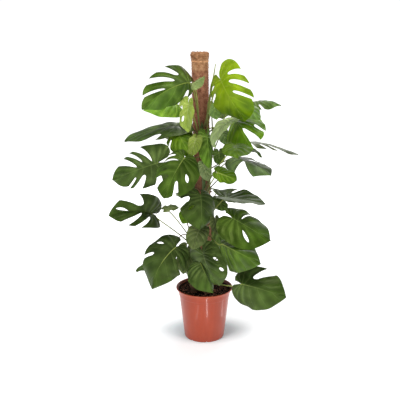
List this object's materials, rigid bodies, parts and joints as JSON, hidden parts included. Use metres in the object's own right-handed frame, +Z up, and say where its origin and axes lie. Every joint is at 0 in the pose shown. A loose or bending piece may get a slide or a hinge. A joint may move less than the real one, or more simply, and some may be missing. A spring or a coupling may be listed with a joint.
{
  "type": "potted swiss cheese plant",
  "caption": "Tall climbing house plant with large glossy split and holed leaves, grown up a coir pole in a round terracotta-coloured plastic nursery pot.",
  "frame": {"origin": "centre of the pot's flat base, on the surface it stands on", "axes": "+Z up along the pot and pole, -Y towards the front of the plant, +X to the right seen from the front"},
  "size_m": [0.7742, 0.6348, 1.203],
  "materials": {
    "terracotta_plastic": "satin",
    "peat_soil": "matte",
    "stake_wood": "matte",
    "coir_fibre": "matte",
    "stem_green": "satin",
    "leaf_lime": "gloss",
    "leaf_bright": "gloss",
    "leaf_mid": "gloss",
    "leaf_dark": "gloss",
    "leaf_grey": "gloss",
    "leaf_pale": "gloss"
  },
  "bodies": {
    "root": {"pot": "terracotta_plastic", "soil": "peat_soil", "pole_stake": "stake_wood", "pole_coir": "coir_fibre", "stem_front": "stem_green", "stem_left": "stem_green", "stem_back": "stem_green", "leaf_01": "leaf_mid", "leaf_02": "leaf_lime", "leaf_03": "leaf_mid", "leaf_05": "leaf_mid", "leaf_06": "leaf_bright", "leaf_07": "leaf_grey", "leaf_08": "leaf_bright", "leaf_09": "leaf_dark", "leaf_10": "leaf_grey", "leaf_12": "leaf_dark", "leaf_13": "leaf_bright", "leaf_14": "leaf_dark", "leaf_15": "leaf_dark", "leaf_16": "leaf_mid", "leaf_17": "leaf_mid", "leaf_18": "leaf_grey", "leaf_19": "leaf_dark", "leaf_20": "leaf_mid", "leaf_21": "leaf_dark", "leaf_22": "leaf_grey", "leaf_23": "leaf_mid", "leaf_24": "leaf_dark", "leaf_25": "leaf_dark", "leaf_26": "leaf_grey", "leaf_27": "leaf_dark", "leaf_28": "leaf_grey", "leaf_29": "leaf_dark", "leaf_31": "leaf_mid", "leaf_32": "leaf_dark", "leaf_33": "leaf_bright", "leaf_34": "leaf_pale", "leaf_35": "leaf_bright", "leaf_36": "leaf_pale", "leaf_37": "leaf_mid", "leaf_38": "leaf_grey", "leaf_39": "leaf_bright", "leaf_40": "leaf_mid", "leaf_41": "leaf_dark", "leaf_42": "leaf_dark", "leaf_43": "leaf_mid", "leaf_44": "leaf_mid", "leaf_45": "leaf_dark", "leaf_46": "leaf_dark", "leaf_47": "leaf_dark", "leaf_48": "leaf_dark", "leaf_49": "leaf_dark", "leaf_50": "leaf_grey"}
  },
  "joints": []
}
